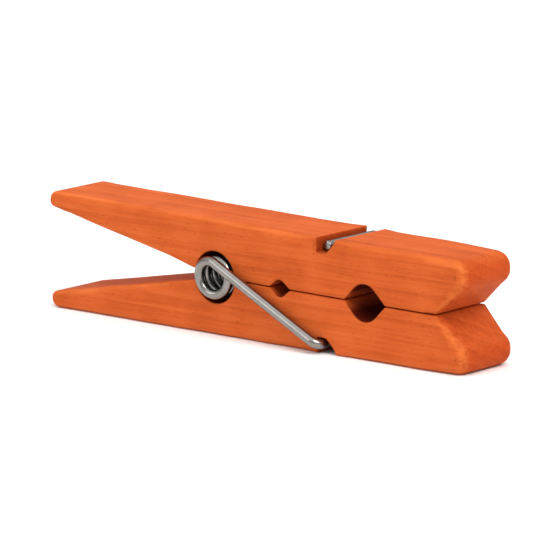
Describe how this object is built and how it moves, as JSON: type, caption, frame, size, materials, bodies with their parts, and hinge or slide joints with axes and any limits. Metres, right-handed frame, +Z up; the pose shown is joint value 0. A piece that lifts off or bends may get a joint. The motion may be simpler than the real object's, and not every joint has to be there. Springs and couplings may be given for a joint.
{
  "type": "clothespin",
  "caption": "Spring clothespin: dyed wooden halves with a line groove, tapered handles and bevelled jaws, closed by a bent wire spring whose coil is the pivot.",
  "frame": {"origin": "on the surface the clothespin lies on, under the middle of its closed length and width", "axes": "+X along the length to the jaws, +Y across, +Z up from the outer face of the lower half to the upper half"},
  "size_m": [0.0721, 0.0132, 0.0158],
  "materials": {
    "dyed_wood": "dyed, tumbled smooth, satin",
    "spring_wire": "plated spring wire, bright drawn"
  },
  "bodies": {
    "lower": {"lower_half": "dyed_wood", "spring": "spring_wire"},
    "upper": {"upper_half": "dyed_wood"}
  },
  "joints": [
    {"name": "jaw_hinge", "type": "hinge", "parent": "lower", "child": "upper", "pos_m": [-0.006, 0, 0.00765], "axis": [0, -1, 0], "range_deg": [0, 21], "stiffness_Nm_per_rad": 0.45, "springref_deg": -1.15, "deforming": ["spring"]}
  ]
}
